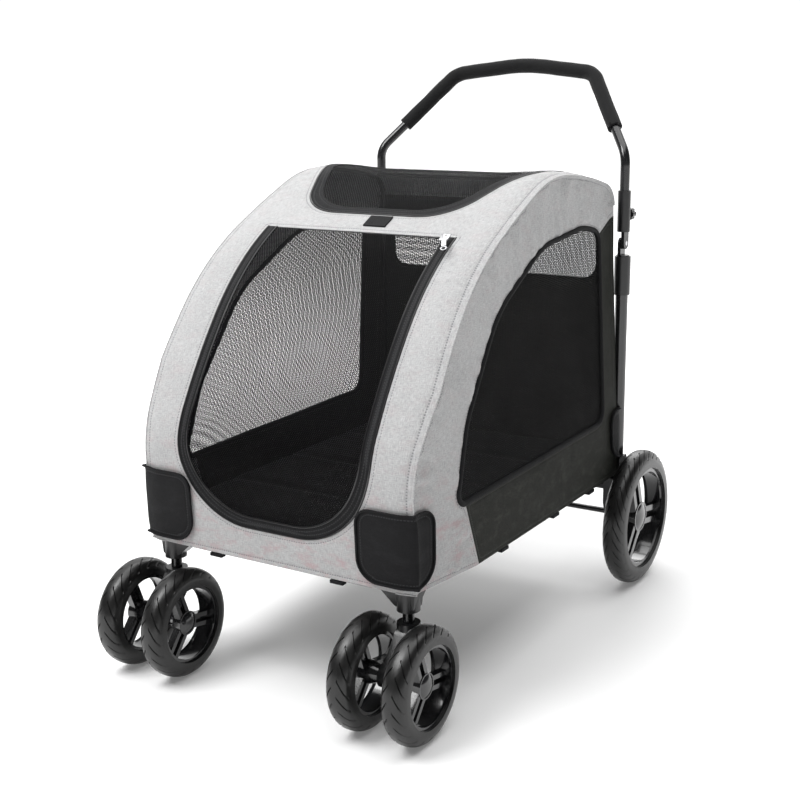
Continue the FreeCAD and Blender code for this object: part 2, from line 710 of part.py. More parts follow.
# ---------------------------------------------------------------- uprights and handle
def build_uprights():
    uprights, sleeves, outers, pins = [], [], [], []
    room = lug_t / 2 + 0.15
    for s in SIDES.values():
        foot = V(upright_x, upright_y, upright_foot_z)
        lower_top = fold_z - lug_reach
        shaft = tube(foot, (upright_x, upright_y, lower_top), upright_r, upright_wall)
        lower_lug = lug(upright_x - room, -1)
        shaft = shaft.fuse([lower_lug, plug(lower_top - 10, lower_top)]).removeSplitter()
        outer = tube((upright_x, upright_y, fold_z + lug_reach), (upright_x, upright_y, outer_top_z), upright_r,
                     upright_r - handle_tube_r - run_gap)
        outer = outer.fuse([lug(upright_x + room, 1), plug(fold_z + lug_reach - 0.01, fold_z + lug_reach + 3)])
        outer = outer.removeSplitter()
        outer = outer.cut(cylinder((upright_x, upright_y + upright_r, knob_z), Y, knob_shaft_r + run_gap, 12))
        pin_hole = cylinder((upright_x, upright_y, fold_z), X, fold_pin_r, 60)
        shaft = shaft.cut(pin_hole)
        outer = outer.cut(cylinder((upright_x, upright_y, fold_z), X, fold_pin_r + run_gap, 60))
        pin = cylinder((upright_x, upright_y, fold_z), X, fold_pin_r, 2 * room + 2 * lug_t / 2 + 1)
        sleeve = tube((upright_x, upright_y, sleeve_low_z), (upright_x, upright_y, sleeve_top_z), sleeve_r,
                      sleeve_r - upright_r - run_gap)
        uprights.append(on_side(shaft, s))
        sleeves.append(on_side(sleeve, s))
        outers.append(on_side(outer, s))
        pins.append(on_side(pin, s))
    export("rear_uprights", uprights)
    export("upright_sleeves", sleeves)
    export("handle_sockets", outers)
    export("fold_pins", pins)


def lug(middle_x, way):
    """A flat tab round the fold pin: it reaches up (way 1) or down (way -1) to its tube."""
    width = upright_r - 1
    disc = cylinder((middle_x, upright_y, fold_z), X, width, lug_t)
    low, high = sorted((fold_z, fold_z + way * (lug_reach + 0.5)))
    return disc.fuse(block((middle_x - lug_t / 2, upright_y - width, low), (middle_x + lug_t / 2, upright_y + width, high)))


def plug(low, high):
    return Part.makeCylinder(upright_r, high - low, V(upright_x, upright_y, low))


def handle_points():
    ux, uy, uz = upper_bend
    rise = bar_rise
    lean = (uy - upright_y) / (uz - lower_bend_z)
    crown = (0, uy + rise * lean, uz + rise)
    half = [(upright_x, upright_y, lower_bend_z), upper_bend]
    return half, crown


def build_handle():
    half, crown = handle_points()
    left_foot = (upright_x, upright_y, handle_foot_z)
    flip = [(-p[0], p[1], p[2]) for p in half]
    points = [left_foot] + half + [crown] + flip[::-1] + [(-upright_x, upright_y, handle_foot_z)]
    path = rounded_path(points, [40, 38, 300, 38, 40])
    bar = round_pipe(path, handle_tube_r).cut(round_pipe(path, handle_tube_r - tube_wall))
    export("handle_bar", bar)
    start = [half[0][i] + grip_start * (half[1][i] - half[0][i]) for i in range(3)]
    other = [-start[0], start[1], start[2]]
    grip_path = rounded_path([start, upper_bend, crown, flip[1], other], [38, 300, 38])
    grip = round_pipe(grip_path, grip_r).cut(round_pipe(path, handle_tube_r + 0.02))
    export("foam_grip", grip)


def build_knob(name, sign):
    wall_y = upright_y + upright_r
    shaft = Part.makeCylinder(knob_shaft_r, 12, V(upright_x, upright_y + handle_tube_r + 0.3, knob_z), Y)
    head = Part.makeCylinder(knob_r, 13, V(upright_x, wall_y + 5, knob_z), Y)
    for i in range(6):
        dent = Part.makeCylinder(2.6, 15, V(upright_x, wall_y + 4, knob_z + knob_r + 0.8), Y)
        dent.rotate(V(upright_x, 0, knob_z), Y, 60 * i)
        head = head.cut(dent)
    collar = Part.makeCylinder(5.5, 5.0, V(upright_x, wall_y + 0.2, knob_z), Y)
    export(f"height_knob_{name}", on_side(shaft.fuse([head, collar]).removeSplitter(), sign))


# ---------------------------------------------------------------- small cloth pieces
def build_pads():
    """Padded patches wrapped round the four lower corners of the cabin."""
    outer = cabin_body(-pad_t, -pad_t)
    shell = outer.cut(cabin_body(-seat_gap / 3, -seat_gap / 3))
    reach, far = 600, 420
    radii = [pad_low_round, 0, 0, pad_top_round]
    pads = []
    for s in SIDES.values():
        for inner_x, end_y, way, low in ((150, -315, -1, pad_low_z), (214, 280, 1, bracket_top_z + 4)):
            across = outline([(inner_x, low), (far, low), (far, pad_top_z), (inner_x, pad_top_z)], "xz", radii)
            along = outline([(end_y, low), (way * reach, low), (way * reach, pad_top_z), (end_y, pad_top_z)], "yz", radii)
            pad = shell.common(through_y(across, min(end_y, way * reach), max(end_y, way * reach)))
            pads.append(on_side(pad.common(prism_x(along, 0, far)), s))
    export("corner_pads", pads)


def build_trim():
    tabs = []
    high = rail_z - tube_r - seat_gap - cloth_t - 0.1
    low = high - 5
    for x in (-110, 110):
        tabs.append(block((x - 11, cabin_front_y - 1.8, low), (x + 11, cabin_front_y + 8, high)))
    for y in (-120, 60, 200):
        tab = block((hem_half_width - 10, y - 11, low), (hem_half_width - 0.5, y + 11, high))
        tabs += [tab, mirror_x(tab)]
    export("hem_tabs", tabs)
    strap = skin(2.0, -2.2).common(block((0, -108, 600), (40, -84, 800)))
    export("roll_up_strap", strap)


def main():
    os.makedirs("parts", exist_ok=True)
    build_cabin()
    build_rods()
    build_base()
    build_front_brackets()
    build_rear_brackets()
    build_uprights()
    build_handle()
    build_pads()
    build_trim()
    export("rear_axle", cylinder((0, rear_y, rear_wheel_r), X, rear_axle_r, 2 * (rear_x + axle_reach(rear_tyre_w))))
    for name, sign in SIDES.items():
        build_caster(name, sign)
        build_rear_wheel(name, sign)
        build_brakes(name, sign)
        build_knob(name, sign)


main()
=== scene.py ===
# %% [markdown]
# A pet stroller in Blender: a cloth cabin on a tube base, with twin-wheel casters, two braked rear wheels
# and a fold-down handle. The hard frame comes ready-made from CAD, in metres, with +X to the pusher's left,
# -Y to the front and +Z up. This lesson gives that frame its finishes and swaps each soft solid for cloth,
# mesh, foam or rubber worth looking at.

# %% Start from the frame
import math

import bmesh
import bpy
from mathutils import Matrix, Vector, noise
from mathutils.kdtree import KDTree


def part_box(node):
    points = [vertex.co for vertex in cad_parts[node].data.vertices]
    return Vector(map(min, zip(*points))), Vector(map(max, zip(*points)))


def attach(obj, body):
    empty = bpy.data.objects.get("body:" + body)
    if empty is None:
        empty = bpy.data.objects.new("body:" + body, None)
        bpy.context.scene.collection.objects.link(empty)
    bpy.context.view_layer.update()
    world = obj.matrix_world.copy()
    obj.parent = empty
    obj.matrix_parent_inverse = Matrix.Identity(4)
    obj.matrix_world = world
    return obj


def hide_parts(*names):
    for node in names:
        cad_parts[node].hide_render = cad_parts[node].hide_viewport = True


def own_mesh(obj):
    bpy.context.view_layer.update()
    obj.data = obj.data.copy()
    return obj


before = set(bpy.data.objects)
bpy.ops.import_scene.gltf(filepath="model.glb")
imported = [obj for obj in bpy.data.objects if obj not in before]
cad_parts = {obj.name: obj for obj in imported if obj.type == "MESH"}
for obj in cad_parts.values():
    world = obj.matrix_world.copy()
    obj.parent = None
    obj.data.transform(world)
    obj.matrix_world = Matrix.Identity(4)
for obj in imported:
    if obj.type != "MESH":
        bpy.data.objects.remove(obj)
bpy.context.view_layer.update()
mm = 0.001
print("CAD nodes:", len(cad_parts))

# %% [markdown]
# The camera stands in front of the stroller, to its left, and looks a little down. It comes first, because
# every choice of detail depends on how near the eye is. A matrix whose columns are right, up and back says
# exactly which way it looks.

# %% Camera
eye = (1.12764, -1.80966, 0.91129)
azimuth, dip, roll = math.radians(32.03), math.radians(14.09), math.radians(-0.74)
ahead = Vector((-math.sin(azimuth) * math.cos(dip), math.cos(azimuth) * math.cos(dip), -math.sin(dip)))
level = Vector((math.cos(azimuth), math.sin(azimuth), 0))
upright = level.cross(ahead)
right = level * math.cos(roll) + upright * math.sin(roll)
up = upright * math.cos(roll) - level * math.sin(roll)
camera_data = bpy.data.cameras.new("camera")
camera_data.sensor_width = 36
camera_data.lens = 59.71
camera = bpy.data.objects.new("camera", camera_data)
turn = Matrix((right, up, -ahead)).transposed().to_4x4()
camera.matrix_world = Matrix.Translation(eye) @ turn
bpy.context.scene.collection.objects.link(camera)
bpy.context.scene.camera = camera
print("camera at", eye, "looking along", [round(part, 3) for part in ahead])

# %% [markdown]
# Soft studio light: a surround that is bright behind the stroller and dim in front of it, a large panel in
# front, a wide one above and weak ones beside and behind it. The front and roof are bright, the long side
# falls to a mid grey, and black stays black. The camera itself sees a white surround from every side.

# %% Light
bright_side = (-0.53, 0.80, 0.28)
brightness = {"From Min": 0.30, "From Max": 0.80, "To Min": 0.10, "To Max": 1.05}
world = bpy.data.worlds.new("surround")
world.use_nodes = True
nodes, links = world.node_tree.nodes, world.node_tree.links
nodes["Background"].inputs["Color"].default_value = (1, 1, 1, 1)
bpy.context.scene.world = world
bpy.context.scene.view_settings.view_transform = "Standard"
toward = nodes.new("ShaderNodeTexCoord")
facing = nodes.new("ShaderNodeVectorMath")
facing.operation = "DOT_PRODUCT"
facing.inputs[1].default_value = bright_side
grade = nodes.new("ShaderNodeMapRange")
grade.interpolation_type = "SMOOTHSTEP"
for socket, value in brightness.items():
    grade.inputs[socket].default_value = value
links.new(toward.outputs["Generated"], facing.inputs[0])
links.new(facing.outputs["Value"], grade.inputs["Value"])
seen = nodes.new("ShaderNodeLightPath")
brighter = nodes.new("ShaderNodeMath")
brighter.operation = "MAXIMUM"
links.new(grade.outputs["Result"], brighter.inputs[0])
links.new(seen.outputs["Is Camera Ray"], brighter.inputs[1])
links.new(brighter.outputs["Value"], nodes["Background"].inputs["Strength"])


def soft_panel(name, place, aim, width, power):
    """A square area light at place, facing aim."""
    data = bpy.data.lights.new(name, "AREA")
    data.size = width
    data.energy = power
    panel = bpy.data.objects.new(name, data)
    panel.location = place
    panel.rotation_mode = "QUATERNION"
    panel.rotation_quaternion = (Vector(aim) - Vector(place)).to_track_quat("-Z", "Y")
    bpy.context.scene.collection.objects.link(panel)


soft_panel("key_light", (-1.1, -1.9, 2.9), (0, 0, 0.5), 1.6, 84)
soft_panel("fill_light", (2.6, -1.4, 1.4), (0, 0, 0.4), 1.6, 1.5)
soft_panel("top_light", (-0.2, 0.2, 4.2), (-0.2, 0.2, 0), 5.0, 210)
soft_panel("rim_light", (-0.6, 2.6, 2.0), (0, 0.2, 0.5), 1.4, 22)
print("lights:", [light.name for light in bpy.data.lights])

# %% [markdown]
# A finish is a small network of shader nodes. Two helpers keep it readable. `Wire` wraps one output socket,
# so that shader maths can be written as ordinary Python expressions. `Finish` makes the material and any
# other node.

# %% Shader helpers


class Wire:
    """One output socket. Sums, products and the like on it add Math nodes."""

    def __init__(self, finish, socket):
        self.finish = finish
        self.socket = socket

    def sum(self, operation, first, second=None):
        values = {0: first} if second is None else {0: first, 1: second}
        return self.finish.node("ShaderNodeMath", {"operation": operation}, values)

    def __add__(self, other):
        return self.sum("ADD", self, other)

    def __radd__(self, other):
        return self.sum("ADD", other, self)

    def __sub__(self, other):
        return self.sum("SUBTRACT", self, other)

    def __rsub__(self, other):
        return self.sum("SUBTRACT", other, self)

    def __mul__(self, other):
        return self.sum("MULTIPLY", self, other)

    def __rmul__(self, other):
        return self.sum("MULTIPLY", other, self)

    def __truediv__(self, other):
        return self.sum("DIVIDE", self, other)

    def low(self, other):
        return self.sum("MINIMUM", self, other)

    def high(self, other):
        return self.sum("MAXIMUM", self, other)

    def sin(self):
        return self.sum("SINE", self)

    def part(self):
        return self.sum("FRACT", self)

    def size(self):
        return self.sum("ABSOLUTE", self)

    def root(self):
        return self.sum("SQRT", self)

    def step(self, start, end):
        """0 below start and 1 above end, smooth between."""
        values = {"Value": self, "From Min": start, "From Max": end}
        return self.finish.node("ShaderNodeMapRange", {"interpolation_type": "SMOOTHSTEP"}, values)


class Finish:
    """A material, and the material slot of the record that it belongs to."""

    def __init__(self, name, slot=None, **constants):
        self.slot = slot
        self.material = bpy.data.materials.new(name)
        self.material.use_nodes = True
        self.tree = self.material.node_tree
        self.shader = self.tree.nodes["Principled BSDF"]
        for socket, value in constants.items():
            self.shader.inputs[socket.replace("_", " ")].default_value = value

    def node(self, kind, settings=None, values=None, output=0):
        made = self.tree.nodes.new(kind)
        for key, value in (settings or {}).items():
            setattr(made, key, value)
        for key, value in (values or {}).items():
            self.feed(made.inputs[key], value)
        return Wire(self, made.outputs[output])

    def feed(self, socket, value):
        if isinstance(value, Wire):
            self.tree.links.new(value.socket, socket)
        else:
            socket.default_value = value

    def place(self):
        return self.node("ShaderNodeTexCoord", output="Object")

    def numbers(self, layer):
        """The two numbers of one of the piece's own UV maps."""
        split = self.node("ShaderNodeSeparateXYZ", None, {0: self.node("ShaderNodeUVMap", {"uv_map": layer})})
        return split, Wire(self, split.socket.node.outputs[1])

    def heights(self):
        """How high each point is, in metres."""
        return self.node("ShaderNodeSeparateXYZ", None, {0: self.place()}, output=2)

    def vector(self, x, y, z=0.0):
        return self.node("ShaderNodeCombineXYZ", None, {0: x, 1: y, 2: z})

    def noise(self, vector, scale, detail=2.0, roughness=0.5):
        values = {"Vector": vector, "Scale": scale, "Detail": detail, "Roughness": roughness}
        return self.node("ShaderNodeTexNoise", None, values)

    def mix(self, share, first, second):
        values = {"Factor": share, 6: first, 7: second}
        return self.node("ShaderNodeMix", {"data_type": "RGBA"}, values, output=2)

    def colour(self, value):
        self.feed(self.shader.inputs["Base Color"], value)

    def rough(self, value):
        self.feed(self.shader.inputs["Roughness"], value)

    def relief(self, height, depth, strength=1.0):
        """Fine relief: height runs from 0 to 1, and depth is what 1 stands for, in metres."""
        bump = self.node("ShaderNodeBump", None, {"Height": height, "Distance": depth, "Strength": strength})
        self.feed(self.shader.inputs["Normal"], bump)


# %% [markdown]
# The cabin's cloth is a polyester weave. The light one is a heather: pale and grey threads side by side,
# seen as short streaks both ways. Every cloth piece carries two UV maps in metres: `cloth`, which runs with
# the threads, and `seam`, how far a point is from the nearest edge and how far along it, which puts a
# dashed stitch beside each seam.

# %% Woven cloth
thread_pitch = 0.0013
stitch_pitch, stitch_inset = 0.0042, 0.0062


def woven(name, slot, light, dark, fleck, fleck_share, stitch, spread, **constants):
    """A cloth of pale and dark threads. spread is how much they differ."""
    finish = Finish(name, slot, **constants)
    u, v = finish.numbers("cloth")
    edge, along = finish.numbers("seam")
    long_way, short_way = 110, 1150
    across = finish.noise(finish.vector(u * long_way, v * short_way), 1, 3, 0.6)
    down = finish.noise(finish.vector(u * short_way, v * long_way, 5.0), 1, 3, 0.6)
    cloudy = finish.noise(finish.vector(u, v, 2.0), 14, 3, 0.6)
    threads = (across - 0.5) * spread + (down - 0.5) * spread + (cloudy - 0.5) * 0.18 + 0.5
    colour = finish.mix(threads.high(0).low(1), dark, light)

    # The tint shows mostly near the hem.
    lowdown = 1 - finish.heights().step(0.22, 0.44)
    tint = finish.noise(finish.vector(u * 26, v * 48, 9.0), 1, 5, 0.75).step(0.46, 0.70)
    colour = finish.mix(tint * (lowdown * 0.8 + 0.2) * fleck_share, colour, fleck)

    dash = ((along / stitch_pitch).part() - 0.42).size().step(0.36, 0.30)
    from_line = (edge - stitch_inset).size()
    colour = finish.mix(from_line.step(0.0011, 0.0005) * dash * 0.75, colour, stitch)
    worn = finish.noise(finish.place(), 9, 4, 0.65).step(0.55, 0.8)
    finish.colour(finish.mix(worn * 0.12, colour, dark))
    finish.rough(0.78 + worn * 0.12 - threads * 0.08)

    turns = math.tau / thread_pitch
    weave = (u * turns).sin() * (v * turns).sin() * 0.5 + 0.5
    dent = from_line.step(0.0035, 0.0)
    finish.relief(weave * 0.35 + (across + down) * 0.5 - dent * 1.6, 0.0006, 0.6)
    return finish


heather = woven(
    "heather_cloth", "cloth_grey", light=(0.60, 0.60, 0.60, 1), dark=(0.17, 0.173, 0.176, 1),
    fleck=(0.40, 0.285, 0.29, 1), fleck_share=0.8, stitch=(0.16, 0.16, 0.17, 1), spread=0.95,
    Sheen_Weight=0.06, Sheen_Roughness=0.5, Specular_IOR_Level=0.2)
charcoal = woven(
    "charcoal_cloth", "cloth_dark", light=(0.024, 0.025, 0.021, 1), dark=(0.008, 0.0083, 0.007, 1),
    fleck=(0.05, 0.05, 0.045, 1), fleck_share=0.5, stitch=(0.05, 0.05, 0.046, 1), spread=1.1,
    Specular_IOR_Level=0.15)
tape = woven(
    "binding_tape", "binding_black", light=(0.008, 0.008, 0.009, 1), dark=(0.002, 0.002, 0.0024, 1),
    fleck=(0.02, 0.02, 0.022, 1), fleck_share=0.3, stitch=(0.035, 0.035, 0.037, 1), spread=0.9,
    Specular_IOR_Level=0.2)
plush = woven(
    "cushion_cloth", "cushion_black", light=(0.010, 0.010, 0.011, 1), dark=(0.0025, 0.0025, 0.003, 1),
    fleck=(0.03, 0.03, 0.032, 1), fleck_share=0.4, stitch=(0.05, 0.05, 0.052, 1), spread=0.9,
    Specular_IOR_Level=0.15, Sheen_Weight=0.03)
print("cloths:", [f.material.name for f in (heather, charcoal, tape, plush)])

# %% [markdown]
# The windows are a knitted net: a triangular lattice of holes. A net that was modelled thread by thread
# would need millions of faces, so the holes are cut by the material's alpha, and the sheet itself stays
# light.

# %% Net


def netting():
    """Black net with see-through holes."""
    finish = Finish("black_net", "mesh_black", Specular_IOR_Level=0.06)
    u, v = finish.numbers("cloth")
    wide = 0.0034
    tall = wide * math.sqrt(3)

    def from_hole(shift):
        """How far a point is from the middle of the nearest hole, in hole pitches."""
        a = (u / wide + shift).part() - 0.5
        b = ((v / tall + shift).part() - 0.5) * math.sqrt(3)
        return (a * a + b * b).root()

    away = from_hole(0.0).low(from_hole(0.5))
    thread = away.step(0.34, 0.42)
    finish.feed(finish.shader.inputs["Alpha"], thread)
    glint = finish.noise(finish.vector(u * 300, v * 900), 1, 2)
    finish.colour(finish.mix(glint, (0.0012, 0.0012, 0.0014, 1), (0.007, 0.007, 0.0075, 1)))
    finish.rough(0.55 + glint * 0.2)
    return finish


net = netting()
print("net:", net.material.name)

# %% [markdown]
# What tells the black finishes apart is how they shine: powder-coated tube and moulded rims are glossy,
# brackets and rubber are satin, and foam is dull with pores. Only the fold pins, the caster axles and the zip
# slider are bright zinc. Each is slightly uneven.

# %% Hard finishes


def hard(name, slot, dark, light, rough, grain, depth, **constants):
    """A smooth hard surface. rough is its range, and grain and depth are its fine relief."""
    finish = Finish(name, slot, **constants)
    place = finish.place()
    patches = finish.noise(place, 22, 4, 0.6)
    fine = finish.noise(place, grain, 2, 0.5)
    scuffs = finish.noise(place, 130, 5, 0.75).step(0.60, 0.78)
    finish.colour(finish.mix(patches * 0.6 + scuffs * 0.25, dark, light))
    finish.rough(rough[0] + (rough[1] - rough[0]) * (patches * 0.6 + scuffs * 0.4))
    finish.relief(fine, depth, 0.7)
    return finish


gloss_tube = hard(
    "powder_coat", "tube_black", dark=(0.004, 0.004, 0.005, 1), light=(0.013, 0.013, 0.014, 1),
    rough=(0.16, 0.36), grain=700, depth=0.00010, Coat_Weight=0.3, Coat_Roughness=0.12)
satin = hard(
    "moulded_plastic", "plastic_black", dark=(0.004, 0.004, 0.0045, 1), light=(0.014, 0.014, 0.015, 1),
    rough=(0.24, 0.48), grain=900, depth=0.00015)
gloss_rim = hard(
    "gloss_plastic", "rim_gloss", dark=(0.005, 0.005, 0.006, 1), light=(0.018, 0.018, 0.019, 1),
    rough=(0.12, 0.30), grain=420, depth=0.00008, Coat_Weight=0.6, Coat_Roughness=0.08)
rubber = hard(
    "tyre_rubber", "tyre_black", dark=(0.003, 0.003, 0.003, 1), light=(0.013, 0.0127, 0.0124, 1),
    rough=(0.25, 0.50), grain=1100, depth=0.00012)
zinc = hard(
    "bright_zinc", "zinc", dark=(0.45, 0.45, 0.46, 1), light=(0.78, 0.78, 0.80, 1),
    rough=(0.16, 0.42), grain=500, depth=0.00006, Metallic=1.0)


def pored():
    """Foam with fine pores."""
    finish = Finish("grip_foam", "foam_black", Specular_IOR_Level=0.2, Sheen_Weight=0.05)
    place = finish.place()
    cells = finish.node("ShaderNodeTexVoronoi", None, {"Vector": place, "Scale": 900.0})
    cloud = finish.noise(place, 40, 3, 0.6)
    finish.colour(finish.mix(cloud, (0.004, 0.004, 0.0043, 1), (0.012, 0.012, 0.0125, 1)))
    finish.rough(0.82 + cloud * 0.12)
    finish.relief(cells, 0.0005, 0.7)
    return finish


foam = pored()
hard_finishes = (gloss_tube, satin, gloss_rim, rubber, zinc, foam)
print("hard finishes:", [f.material.name for f in hard_finishes])

# %% [markdown]
# The hard CAD nodes keep their shapes, so all they need is their finish in each material slot.

# %% Finishes on the hard nodes
rims = ("rim_", "rear_rim_")
tubes = ("side_rails", "cross_tubes", "rear_uprights", "handle_bar", "rear_axle", "front_bow", "caster_stem")
bright = ("fold_pins", "caster_axle", "zipper_slider")


def finish_for(node):
    """Satin, unless the node's name says otherwise."""
    if node.startswith(rims):
        return gloss_rim
    if node.startswith(tubes):
        return gloss_tube
    return zinc if node.startswith(bright) else satin


for node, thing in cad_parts.items():
    for place in thing.material_slots:
        place.material = finish_for(node).material
print("zinc nodes:", [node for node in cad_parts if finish_for(node) is zinc])

# %% [markdown]
# Cloth starts from the CAD sheet, which has the right outline but no life. The plan for every piece is the
# same: keep the outer face, slice it into small even cells, lift the cells a little where real cloth
# puckers, and give the sheet its thickness back. These helpers do one step each.

# %% Cloth helpers
heart = Vector((0, 0, 0.30))
pad_heart = Vector((0, 0, 0.27))
weld = 0.02 * mm


def cad_copy(node):
    """An editable copy of a CAD node, with its loose triangles joined up."""
    bm = bmesh.new()
    bm.from_mesh(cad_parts[node].data)
    bmesh.ops.remove_doubles(bm, verts=bm.verts[:], dist=weld)
    return bm


def outward(way, point):
    """The way out of the cabin. Without a match it is that of the front and roof, which curve round."""
    if way == "side":
        return Vector((math.copysign(1, point.x), 0, 0))
    if way == "back":
        return Vector((0, 1, 0))
    if way == "floor":
        return Vector((0, 0, -1))
    if way == "corner":
        return (point - pad_heart).normalized()
    return Vector((0, point.y - heart.y, point.z - heart.z)).normalized()


def patches_of(bm, limit):
    """Groups of faces that meet at less than the limit."""
    bm.faces.index_update()
    left = {f.index: f for f in bm.faces}
    groups = []
    while left:
        group, queue = [], [left.pop(min(left))]
        while queue:
            face = queue.pop()
            group.append(face)
            for edge in face.edges:
                for other in edge.link_faces:
                    if other.index in left and face.normal.angle(other.normal, 0) < limit:
                        queue.append(left.pop(other.index))
        groups.append(group)
    return groups


def outer_face(bm, way, limit=math.radians(30), least_facing=0.3, least_share=0.25):
    """Deletes all of a sheet but its outer face."""
    bm.normal_update()
    scored = []
    for group in patches_of(bm, limit):
        area = sum(f.calc_area() for f in group)
        facing = sum(f.normal.dot(outward(way, f.calc_center_median())) * f.calc_area() for f in group)
        scored.append((area if facing > area * least_facing else 0, group))
    largest = max(area for area, _ in scored)
    spare = [f for area, group in scored if area < largest * least_share for f in group]
    bmesh.ops.delete(bm, geom=spare, context="FACES")


def slice_up(bm, pitch, axes="xyz"):
    """Cuts a mesh into cells no wider than pitch."""
    bmesh.ops.dissolve_limit(bm, angle_limit=math.radians(0.3), verts=bm.verts[:], edges=bm.edges[:])
    for axis in ("xyz".index(a) for a in axes):
        values = [v.co[axis] for v in bm.verts]
        low, high = min(values), max(values)
        cuts = int((high - low) / pitch)
        for i in range(1, cuts + 1):
            place, way = Vector(), Vector()
            place[axis] = low + (high - low) * i / (cuts + 1)
            way[axis] = 1
            everything = bm.verts[:] + bm.edges[:] + bm.faces[:]
            bmesh.ops.bisect_plane(bm, geom=everything, plane_co=place, plane_no=way, dist=weld)


def rim_walks(bm):
    """The open edges in order, as one list of vertices for each loop."""
    bm.edges.index_update()
    left = {e.index: e for e in bm.edges if e.is_boundary}
    walks = []
    while left:
        first = left.pop(min(left))
        walk = [first.verts[0], first.verts[1]]
        while True:
            ahead_edge = next((e for e in walk[-1].link_edges if e.index in left), None)
            if ahead_edge is None:
                break
            del left[ahead_edge.index]
            walk.append(ahead_edge.other_vert(walk[-1]))
        walks.append(walk)
    return walks


def seam_numbers(bm):
    """For each vertex, how far it is from the nearest rim and how far along that rim, in metres."""
    runs = []
    for walk in rim_walks(bm):
        done = 0.0
        for a, b in zip(walk, walk[1:]):
            runs.append((a.co.copy(), b.co.copy(), done))
            done += (b.co - a.co).length
    tree = KDTree(len(runs))
    for i, (a, b, _) in enumerate(runs):
        tree.insert((a + b) / 2, i)
    tree.balance()
    numbers = []
    for v in bm.verts:
        best = (1e9, 0.0)
        for _, i, _ in tree.find_n(v.co, 4):
            a, b, done = runs[i]
            span = b - a
            share = min(1.0, max(0.0, (v.co - a).dot(span) / max(span.length_squared, 1e-12)))
            best = min(best, ((v.co - a - span * share).length, done + span.length * share))
        numbers.append(best)
    return numbers


round_reach = 0.40


def thread_place(way, co):
    """Where a point is on the cloth, in metres along and across its threads."""
    if way == "side":
        return co.y, co.z
    if way == "corner":
        return abs(co.x) - co.y, co.z
    if way == "back":
        return co.x, co.z
    if way == "floor":
        return co.x, co.y
    return co.x, math.atan2(co.z - heart.z, heart.y - co.y) * round_reach


def smooth_share(value, start, end):
    """0 below start and 1 above end, smooth between."""
    share = min(1.0, max(0.0, (value - start) / (end - start)))
    return share * share * (3 - 2 * share)


def add_maps(bm, way, numbers):
    """Writes the two UV maps."""
    bm.verts.index_update()
    cloth_map = bm.loops.layers.uv.new("cloth")
    seam_map = bm.loops.layers.uv.new("seam")
    for face in bm.faces:
        for corner in face.loops:
            corner[cloth_map].uv = thread_place(way, corner.vert.co)
            corner[seam_map].uv = numbers[corner.vert.index]


pads_front_y, pads_rear_y, pads_top_z, pads_clear_z = -0.29, 0.26, 0.325, 0.37


def crumple(bm, numbers, wave, pucker, seed, reach=0.07):
    """Lifts cloth: slow waves over the whole piece, and puckers that run in from its seams.

    Near the corners it stays flat below the pads' tops, so that the pads lie on it."""
    bm.normal_update()
    moves = []
    for v, (edge, along) in zip(bm.verts, numbers):
        by_pads = v.co.y < pads_front_y or v.co.y > pads_rear_y
        free = smooth_share(v.co.z, pads_top_z, pads_clear_z) if by_pads else 1.0
        swell = noise.noise(v.co / 0.11 + Vector((seed, 0, 0))) + 0.3
        slow = swell * wave * smooth_share(edge, 0.002, 0.06)
        ridge = max(0.0, noise.noise(Vector((along / 0.019, edge / 0.09, seed * 3.7))) + 0.12)
        quick = ridge * pucker * smooth_share(edge, 0.001, 0.012) * (1 - smooth_share(edge, 0.012, reach))
        moves.append(v.normal * (slow + quick) * free)
    for v, move in zip(bm.verts, moves):
        v.co += move


# %% [markdown]
# Cloth pulled over a frame doesn't turn a knife-sharp corner. The cabin's long edges, where the front and
# roof meet the sides, are softened: a point near an edge is moved from the square corner onto the arc of a
# circle, by the same rule for every piece, so that seams, pads and rods that lie on the edge stay together.

# %% Soften the cabin's edges
edge_round = 20 * mm
stands_out = 0.02
hood_low, hood_high = (Vector(c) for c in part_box("hood_panel"))


def profile_of_cabin():
    """The cabin seen from the side, as (y, z) points up the front and over the roof."""
    bm = cad_copy("hood_panel")
    outer_face(bm, "round")
    spots = {(round(v.co.y, 5), round(v.co.z, 5)) for v in bm.verts if v.co.x > 0.19}
    bm.free()
    line = sorted(spots, key=lambda p: math.atan2(p[1] - heart.z, heart.y - p[0]))
    kept = [line[0]]
    for spot in line[1:]:
        if math.dist(spot, kept[-1]) > 1.5 * mm:
            kept.append(spot)
    return [Vector(spot) for spot in kept]


profile = profile_of_cabin()
flare_start, front_half, hem_half, roof_half = -0.212, 0.235, 0.256, 0.229


def half_width(y, z):
    """The cabin's half width. It narrows towards the roof and towards the front."""
    taper = hem_half - (hem_half - roof_half) * (z - hood_low.z) / (hood_high.z - hood_low.z)
    flare = hem_half - (hem_half - front_half) * max(0.0, flare_start - y) / (flare_start - hood_low.y)
    return min(taper, flare)


def depth_below_profile(y, z):
    """How far inside the profile a point is, and the way out."""
    here, best = Vector((y, z)), None
    for a, b in zip(profile, profile[1:]):
        span = b - a
        share = min(1.0, max(0.0, (here - a).dot(span) / span.length_squared))
        away = here - a - span * share
        if best is None or away.length < best[0]:
            out = Vector((-span.y, span.x)).normalized()
            best = (away.length, -away.dot(out), out)
    return best[1], best[2]


def soften(co):
    """The place of a point once the cabin's edges are rounded."""
    inside = half_width(co.y, co.z) - abs(co.x)
    if inside > edge_round or inside < -stands_out:
        return co
    depth, out = depth_below_profile(co.y, co.z)
    if depth > edge_round or depth < -stands_out:
        return co
    across, outwards = edge_round - inside, edge_round - depth
    shrink = max(across, outwards) / max(math.hypot(across, outwards), 1e-9) - 1
    way = out * outwards * shrink
    return co + Vector((math.copysign(across * shrink, co.x), way.x, way.y))


def soften_all(bm):
    for v in bm.verts:
        v.co = soften(v.co)


print("profile points:", len(profile), "half width at the hem:", half_width(0, hood_low.z))

